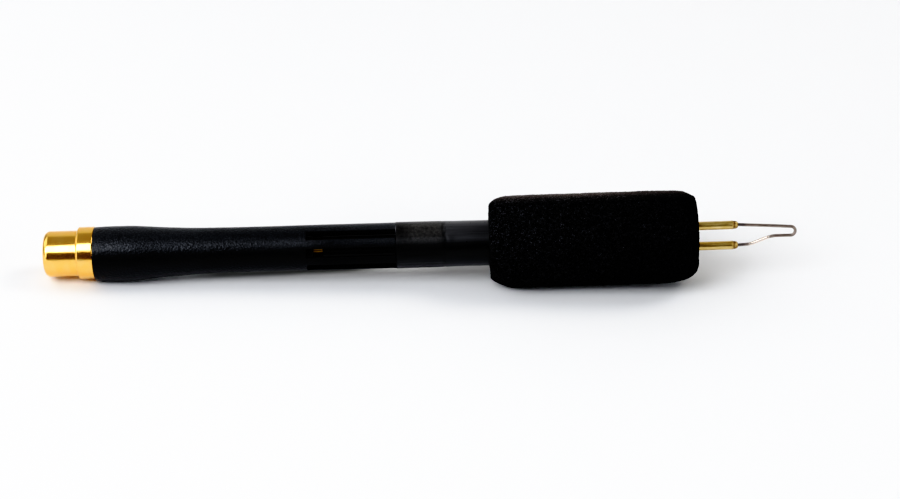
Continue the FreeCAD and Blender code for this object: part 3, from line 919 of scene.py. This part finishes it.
def front_sleeve():
    stations = np.concatenate([
        [SEAM, SEAM + 0.03, SEAM + 0.08, SEAM + 0.16], np.arange(SEAM + 0.35, 76.4, 0.20),
        np.arange(77.0, 111.6, 0.9), [111.8, 112.0, 112.12, 112.24, 112.33, SLEEVE_END],
    ])
    x, angle = lattice(stations, turn(SLEEVE_SEG))
    radius = lookup(x, SLEEVE_OUTLINE)
    points = around(x, radius, angle)
    # it sinks slightly over each covered vent, and shows the barrel's end as a soft step
    sink = np.zeros_like(x)
    for centre in VENT_CENTRES:
        off_centre = np.abs((angle - centre + math.pi) % (2 * math.pi) - math.pi)
        sink = np.maximum(sink, 1 - step(0.13, 0.27, off_centre))
    end = 68.0 + 0.35 * np.sin(angle * 2 + 0.6) + 0.15 * np.sin(angle * 5)
    over = step(59.1, 60.2, x) * (1 - step(end - 0.3, end + 0.5, x))
    ripple = soft(points, (0.55, 0.5, 0.5), seed=31) * 0.5
    ripple = ripple + soft(points, (1.3, 0.9, 0.9), seed=37) * 0.5
    drawn = np.stack([x * 0.08, np.cos(angle) * 4.3, np.sin(angle) * 4.3], -1)
    lines = soft(drawn, (1.0, 0.28, 0.28), seed=41)
    body = step(SEAM + 0.1, SEAM + 0.5, x)
    texture = over * 0.016 * ripple + (1 - over) * 0.006 * lines
    groove = np.exp(-((x - end - 0.25) / 0.30) ** 2)
    radius = radius - 0.070 * sink * over + body * texture - 0.022 * groove
    points = np.vstack([around(x, radius, angle), around(x, lookup(x, SLEEVE_BORE), angle)])

    inside = len(x)  # offset from an outer point to its inner one
    faces = grid_faces(len(stations), SLEEVE_SEG)
    j = np.arange(SLEEVE_SEG)
    k = (j + 1) % SLEEVE_SEG
    rear = np.stack([k, j, j + inside, k + inside], -1)
    front = np.stack([j, k, k + inside, j + inside], -1) + inside - SLEEVE_SEG
    face_sets = [faces, faces[:, ::-1] + inside, rear, front]
    build("front_shrink_sleeve", points, face_sets, "front_sleeve", "black_sleeve", sharp=40)


# ------------------------------------------------------------ posts

POST_SEG = 56
POST_REAR_OFFSET, POST_OFFSET = 1.15, 1.95  # from the pen axis, at the rear and at the front
POST_NOSE_X = [
    118.0, 119.0, 119.8, 120.3, 120.7, 121.0, 121.25, 121.45, 121.58, 121.66, 121.74, 121.82,
    121.92, 122.00, 122.06, 122.14, 122.24, 122.34, 122.44, 122.54, 122.62, 122.68, POST_END,
]
# (x, radius)
POST_OUTLINE = [
    (POST_REAR, 0.72), (POST_REAR + 0.12, 0.795), (121.45, 0.795), (121.58, 0.798),
    (121.66, 0.81), (121.76, 0.79), (121.92, 0.725), (122.02, 0.705), (122.20, 0.71),
    (122.36, 0.66), (122.54, 0.58), (122.64, 0.52), (POST_END, 0.46),
]


def brass_post(name, node, side):
    """side: 1 for the upper post, -1 for the lower."""
    rear, front = side * POST_REAR_OFFSET, side * POST_OFFSET
    corners = [(POST_REAR, rear), (67.0, rear), (77.0, front), (117.0, front)]
    line = bend_path(corners, radii=[15.0, 15.0], gap=0.6)
    line = np.vstack([line, [(x, front) for x in POST_NOSE_X]])
    points, faces = tube(line, lookup(line[:, 0], POST_OUTLINE), POST_SEG)
    # two shallow dents square to the post plane, and a slightly crooked, squeezed nose
    x = points[:, 0]
    centres = np.stack([np.interp(x, line[:, 0], places) for places in in_post_plane(line).T], -1)
    off = points - centres
    off_square, off_across = off @ SQUARE, off @ ACROSS
    dent = np.exp(-((x - 120.75) / 0.30) ** 2) * np.exp(-(np.abs(off_across) / 0.34) ** 2)
    points = points - (np.sign(off_square) * 0.035 * dent)[:, None] * SQUARE
    squeeze = step(121.6, 122.5, x) * 0.10
    points = points - (off_square * squeeze)[:, None] * SQUARE
    points = points + (off_across * squeeze * 0.7)[:, None] * ACROSS
    lump = soft(points + 40 * side, 0.5, seed=61) * 0.016 * step(121.5, 121.8, points[:, 0])
    outward = off / np.maximum(np.linalg.norm(off, axis=1), 1e-6)[:, None]
    points = points + outward * lump[:, None]
    build(name, sprung(points), faces, node, "brass_rod", sharp=40)


# ------------------------------------------------------------ cutting wire

WIRE_SEG, WIRE_STEP = 40, 0.10
WIRE_RADIUS, TIP_INSET = 0.290, 0.285  # TIP_INSET: from the wire's centre line to the tip's end
TIP_RADIUS, TIP_ACROSS = 0.86, 0.42  # the tip's bend, and its centre's height above the axis
TIP_X = TIP_END - TIP_INSET - TIP_RADIUS
WIRE_LEAVES = 123.0  # where the legs leave the posts' line


def cutting_wire():
    slope = math.atan2((TIP_ACROSS + TIP_RADIUS) - 1.93, TIP_X - WIRE_LEAVES)
    top = (TIP_X - TIP_RADIUS * math.sin(slope), TIP_ACROSS + TIP_RADIUS * math.cos(slope))
    upper = bend_path(
        [(WIRE_REAR, POST_OFFSET), (WIRE_LEAVES, POST_OFFSET), top], radii=[4.0], gap=WIRE_STEP
    )
    tip = np.array([
        (TIP_X + TIP_RADIUS * math.cos(angle), TIP_ACROSS + TIP_RADIUS * math.sin(angle))
        for angle in np.linspace(math.pi / 2 + slope, -math.pi / 2, 42)[1:]
    ])
    bottom = TIP_ACROSS - TIP_RADIUS
    lower = bend_path(
        [(TIP_X, bottom), (128.85, bottom), (125.0, -1.88), (WIRE_LEAVES, -POST_OFFSET),
         (WIRE_REAR, -POST_OFFSET)],
        radii=[6.0, 5.0, 3.0], gap=WIRE_STEP,
    )
    line = np.vstack([upper, tip, lower[1:]])
    centres = in_post_plane(line)
    # hand bent: beyond the posts the wire wanders a few hundredths of a millimetre
    places = np.zeros((len(line), 3))
    places[:, 0] = np.linspace(0, 1, len(line)) * 24
    free = step(0.0, 1.0, np.clip((line[:, 0] - WIRE_LEAVES) / 1.5, 0, 1))
    centres = centres + (soft(places, 2.4, seed=71) * 0.016 * free)[:, None] * ACROSS
    centres = centres + (soft(places, 2.4, seed=77) * 0.014 * free)[:, None] * SQUARE
    radii = WIRE_RADIUS + 0.004 * soft(places, 0.7, seed=79)
    heading = np.gradient(centres, axis=0)
    heading /= np.linalg.norm(heading, axis=1)[:, None]
    side = np.cross(heading, SQUARE)
    side /= np.linalg.norm(side, axis=1)[:, None]
    points, faces = sweep(centres, side, radii, WIRE_SEG)
    build(
        "bent_cutting_wire", sprung(points), faces, "cutting_wire", "resistance_wire", sharp=50
    )


# ------------------------------------------------------------ foam grip

FOAM_BORE, FOAM_RADIUS = 4.39, 8.75
FOAM_EDGE = FOAM_BORE + 0.02  # radius of the bore's two ends
FOAM_STEP, FOAM_WIDTH = 0.175, 0.195  # cell length along the outline and width round it
# (x, radius)
FOAM_OUTLINE = [
    (FOAM_REAR, FOAM_EDGE), (FOAM_REAR, 7.25), (76.80, 7.75), (77.60, 8.20), (79.30, 8.55),
    (82.00, 8.72), (86.00, FOAM_RADIUS), (106.00, FOAM_RADIUS), (110.50, 8.70), (113.00, 8.45),
    (114.10, 7.95), (FOAM_FRONT, 7.25), (FOAM_FRONT, FOAM_EDGE),
]
# how far the worn underside and the squarer top depart from that outline: (x, low, top)
FOAM_WEAR = np.array([
    (76.3, -0.60, 0.0), (77.5, -0.52, 0.07), (78.6, -0.28, 0.17), (80.3, 0.04, 0.13),
    (82.5, 0.04, 0.08), (86.0, 0.0, 0.05), (108.0, 0.0, 0.09), (110.5, -0.02, 0.10),
    (112.5, -0.28, 0.13), (113.4, -0.41, -0.04), (114.1, -0.52, -0.12), (114.8, -0.66, 0.24),
])


def foam_section():
    """Evenly spaced, smoothed stations and radii of the outline, with their outward normals."""
    outline = np.array(refine(FOAM_OUTLINE, FOAM_STEP))
    lengths = np.linalg.norm(np.diff(outline, axis=0), axis=1)
    travelled = np.concatenate([[0], np.cumsum(lengths)])
    even = np.linspace(0, travelled[-1], int(travelled[-1] / FOAM_STEP))
    section = []
    for values in outline.T:
        values = np.interp(even, travelled, values)
        smooth = np.convolve(np.pad(values, 2, mode="edge"), np.ones(5) / 5, "valid")
        values[3:-3] = smooth[3:-3]
        section.append(values)
    stations, radii = section
    along, outward = np.gradient(stations), np.gradient(radii)
    length = np.hypot(along, outward)
    return stations, radii, -outward / length, along / length


def foam_relief(points, normal_x, off_bore):
    """Pits, struts, lumps and stray fibres of the open foam, along the normal."""
    nearest, second = cells(points, 0.62, seed=101)
    fine, _ = cells(points, 0.36, seed=151)
    pits = -0.085 * step(0.62, 0.12, nearest) - 0.050 * step(0.55, 0.10, fine)
    struts = 0.030 * (1 - np.clip((second - nearest) / 0.22, 0, 1))
    lumps = 0.050 * soft(points, 3.2, seed=7) + 0.030 * soft(points, 1.1, seed=9)
    zeros = np.zeros(len(points), np.int64)
    tall = hashed(np.arange(len(points)), zeros, zeros, seed=5)
    fibres = np.where(tall > 0.965, 0.075 * (tall - 0.965) / 0.035, 0.0)
    relief = (pits + struts + lumps + fibres - 0.16) * off_bore
    end_lumps = 0.07 * soft(points, 2.1, seed=17) * off_bore
    return relief + np.where(np.abs(normal_x) > 0.8, end_lumps, 0)


def foam_grip():
    stations, radii, normals_x, normals_out = foam_section()
    seg = int(2 * math.pi * FOAM_RADIUS / FOAM_WIDTH)
    x, angle = lattice(stations, turn(seg))
    radius, normal_x, normal_out = (
        np.repeat(values, seg) for values in (radii, normals_x, normals_out)
    )
    off_bore = step(FOAM_BORE + 0.1, FOAM_BORE + 0.7, radius)
    relief = foam_relief(around(x, radius, angle), normal_x, off_bore)
    wear_x, wear_low, wear_top = FOAM_WEAR.T
    low = lowness(angle)
    wear = np.interp(x, wear_x, wear_low) * step(-0.25, 0.95, low)
    wear = wear + np.interp(x, wear_x, wear_top) * step(0.2, 0.95, -low)
    on_end = np.where(np.abs(normal_x) > 0.95, (radius - FOAM_BORE) / 4.4, 1.0)
    radius = radius + wear * step(FOAM_BORE + 0.5, 7.2, radius) * on_end
    # the front face stands out around the bore
    x = x + 0.26 * step(112.2, 114.75, x) * step(FOAM_BORE + 0.2, 6.4, radius)
    outside = around(x + relief * normal_x, radius + relief * normal_out, angle)

    bore_stations = np.linspace(FOAM_FRONT, FOAM_REAR, 40)[1:-1]
    x, angle = lattice(bore_stations, turn(seg))
    widened = step(FOAM_REAR, FOAM_REAR + 2.5, x) * (1 - step(FOAM_FRONT - 2.5, FOAM_FRONT, x))
    bore = around(x, FOAM_EDGE + 0.09 * widened, angle)
    points = sprung(np.vstack([outside, bore]))

    rows = len(stations) + len(bore_stations)
    last = (rows - 1) * seg
    j = np.arange(seg)
    k = (j + 1) % seg
    closing = np.stack([last + j, last + k, k, j], -1)
    face_sets = [grid_faces(rows, seg), closing]
    build("black_foam_grip", points, face_sets, "foam_grip", "black_foam", body=GRIP)


# ------------------------------------------------------------ floor

# the floor touches the bell's lowest line and rises into the soft grip's underside
FLOOR_HALF = 3.0  # m
FLOOR_DROP, FLOOR_DROP_X, FLOOR_SLOPE = 5.18, 8.0, 0.038  # mm below the axis at x mm, and fall
BACKDROP = (0.95, 0.95, 0.95)  # what the camera sees beyond the floor


def floor_material():
    pale = (0.92, 0.92, 0.92)
    mat = Surface("pale_floor", color=pale, rough=0.85, specular=0.15)
    # painted contact shadow: soft darkening of the floor in the narrow gap below the barrel
    x_mm, y_mm = (mat.times(mat.axis(letter), 1000.0) for letter in "XY")
    aside = mat.math("SUBTRACT", y_mm, mat.linear(x_mm, gain=0.092, base=-3.10))
    close = mat.ease(aside, start=-0.60, end=1.40)
    close = mat.times(close, mat.window(start=27.0, end=49.0, soft=9.0))
    close = mat.times(close, mat.window(start=-9.0, end=3.0, soft=3.5, letter="Y"))
    dark = mat.times(close, mat.linear(x_mm, gain=0.013, base=0.20))
    mat.finish(color=mat.mix(dark, low=pale, high=(0.02, 0.02, 0.02)))
    # far off, the camera sees the floor fade into the backdrop
    far = mat.add("ShaderNodeVectorMath", {0: mat.where}, operation="LENGTH").outputs["Value"]
    camera_ray = mat.add("ShaderNodeLightPath").outputs["Is Camera Ray"]
    seen = mat.times(mat.ease(far, start=0.40, end=0.95), camera_ray)
    glow = mat.add("ShaderNodeEmission", {"Color": BACKDROP})
    shaders = {0: seen, 1: mat.bsdf.outputs[0], 2: glow.outputs[0]}
    blend = mat.add("ShaderNodeMixShader", shaders)
    mat.set(mat.tree.nodes["Material Output"], "Surface", blend.outputs[0])
    return mat.material


def floor():
    corners = [
        (x, y, -(FLOOR_DROP + (x * 1000 - FLOOR_DROP_X) * FLOOR_SLOPE) / 1000)
        for x, y in ((-FLOOR_HALF, -FLOOR_HALF), (FLOOR_HALF, -FLOOR_HALF),
                     (FLOOR_HALF, FLOOR_HALF), (-FLOOR_HALF, FLOOR_HALF))
    ]
    mesh = bpy.data.meshes.new("floor")
    mesh.from_pydata(corners, [], [(0, 1, 2, 3)])
    piece = bpy.data.objects.new("floor", mesh)
    bpy.context.scene.collection.objects.link(piece)
    mesh.materials.append(floor_material())


# ------------------------------------------------------------ world, lights and camera

# room brightness from the camera side's horizon (0), over the top (0.5), to the far horizon (1)
ROOM_STOPS = [
    (0.0, 0.10), (0.185, 0.10), (0.36, 0.16), (0.42, 0.26), (0.69, 0.30), (0.75, 0.62),
    (1.0, 0.70),
]
COOL, WARM = (0.965, 0.99, 1.04), (1.01, 1.0, 0.985)
KEY_RISE = math.radians(56.5)
LIGHT_TARGET = Vector((0.06, 0, 0))
# name, place (m), size (m), radiance, tint: square panels that face the target
PANELS = [
    ("left_softbox", (-0.88, 0.27, 0.82), 1.30, 1.10, WARM),
    ("right_softbox", (0.90, 0.20, 0.78), 0.62, 4.7, WARM),
    ("low_left_panel", (-1.00, -0.66, 0.46), 1.00, 1.45, COOL),
    ("low_right_panel", (1.05, -0.62, 0.42), 0.55, 4.6, COOL),
]
TILT = math.radians(1.60)  # the pen's axis rises slightly to the right of the picture
AIM_X, AIM_DROP, CAMERA_DISTANCE = 0.0691, 0.00108, 0.447  # m
# tone curve (in, out): deep blacks, clean whites
TONE_CURVE = [
    (0.0, 0.0), (0.022, 0.0007), (0.045, 0.0034), (0.07, 0.0135), (0.10, 0.040), (0.15, 0.105),
    (0.27, 0.27), (0.50, 0.56), (0.88, 0.972), (1.0, 1.0),
]


def studio_world():
    world = bpy.data.worlds.new("studio")
    bpy.context.scene.world = world
    world.use_nodes = True
    graph = Graph(world.node_tree)
    graph.tree.nodes.clear()
    where = graph.add("ShaderNodeTexCoord").outputs["Generated"]
    x, y, z = graph.add("ShaderNodeSeparateXYZ", {0: where}).outputs
    over = graph.math("DIVIDE", graph.math("ARCTAN2", z, graph.times(y, -1.0)), math.pi)
    brightness = graph.ramp(over, ROOM_STOPS)
    # the bright back wall is narrow: to the sides the room is dimmer
    side = graph.ease(graph.math("ABSOLUTE", x), start=0.28, end=0.65, before=1.0, after=0.36)
    room = graph.mix(1.0, brightness, side, mode="MULTIPLY")
    camera_ray = graph.add("ShaderNodeLightPath").outputs["Is Camera Ray"]
    shown = graph.mix(camera_ray, low=room, high=BACKDROP)
    background = graph.add("ShaderNodeBackground", {"Color": shown, "Strength": 1.0})
    graph.add("ShaderNodeOutputWorld", {0: background.outputs[0]})


def pose(x_axis, y_axis, z_axis, place):
    """The matrix of something at a place, with its three axes along those directions."""
    rows = [tuple(row) for row in zip(x_axis, y_axis, z_axis, place)]
    return Matrix((*rows, (0, 0, 0, 1)))


def area(name, place, facing, size, radiance, tint, fade):
    """A rectangular soft light with a given brightness of its face.

    fade: the parts of its width at the +X end and the -X end, and of its height at both ends,
    over which it fades out."""
    data = bpy.data.lights.new(name, "AREA")
    data.shape = "RECTANGLE"
    data.size, data.size_y = size
    data.energy = radiance * math.pi * size[0] * size[1]
    data.color = tint
    light = bpy.data.objects.new(name, data)
    bpy.context.scene.collection.objects.link(light)
    z_axis = -facing.normalized()
    y_axis = z_axis.cross(Vector((1, 0, 0))).normalized()
    light.matrix_world = pose(y_axis.cross(z_axis).normalized(), y_axis, z_axis, place)
    data.use_nodes = True
    graph = Graph(data.node_tree)
    parametric = graph.add("ShaderNodeNewGeometry").outputs["Parametric"]
    across, height, _ = graph.add("ShaderNodeSeparateXYZ", {0: parametric}).outputs
    right_end, left_end, tall = fade
    strength = graph.ease(across, 1.0, 1.0 - right_end)
    for value, start, end in (
        (across, 0.0, left_end), (height, 0.0, tall), (height, 1.0, 1.0 - tall)
    ):
        strength = graph.times(strength, graph.ease(value, start, end))
    graph.set(graph.tree.nodes["Emission"], "Strength", strength)


def lights():
    key = Vector((0, -math.cos(KEY_RISE), math.sin(KEY_RISE)))
    area(
        "front_softbox", key + Vector((-0.70, 0, 0)), facing=-key, size=(1.45, 0.63),
        radiance=4.4, tint=COOL, fade=(0.08, 0.10, 0.12),
    )
    for name, place, size, radiance, tint in PANELS:
        facing = LIGHT_TARGET - Vector(place)
        area(name, Vector(place), facing, (size, size), radiance, tint, fade=(0.2, 0.2, 0.2))


def camera():
    right = Vector((1, 0, 0))
    view_up = Vector(VIEW_UP)
    back = Vector((0, -math.cos(EYE), math.sin(EYE)))
    camera_right = right * math.cos(TILT) - view_up * math.sin(TILT)
    camera_up = view_up * math.cos(TILT) + right * math.sin(TILT)
    data = bpy.data.cameras.new("camera")
    data.lens = 96.0
    data.sensor_width = 36.0
    data.clip_start, data.clip_end = 0.01, 50.0
    view = bpy.data.objects.new("camera", data)
    bpy.context.scene.collection.objects.link(view)
    place = Vector((AIM_X, 0, 0)) - camera_up * AIM_DROP + back * CAMERA_DISTANCE
    view.matrix_world = pose(camera_right, camera_up, back, place)
    bpy.context.scene.camera = view


def tone_curve():
    view = bpy.context.scene.view_settings
    view.view_transform = "Standard"
    view.use_curve_mapping = True
    curve = view.curve_mapping.curves[3]
    while len(curve.points) < len(TONE_CURVE):
        curve.points.new(0.5, 0.5)
    for point, location in zip(curve.points, TONE_CURVE):
        point.location = location
        point.handle_type = "AUTO_CLAMPED"
    view.curve_mapping.update()


dress_packed_pieces()
socket_shell()
rear_barrel()
front_sleeve()
brass_post("upper_brass_post", "upper_post", side=1)
brass_post("lower_brass_post", "lower_post", side=-1)
cutting_wire()
foam_grip()
floor()
studio_world()
lights()
camera()
tone_curve()
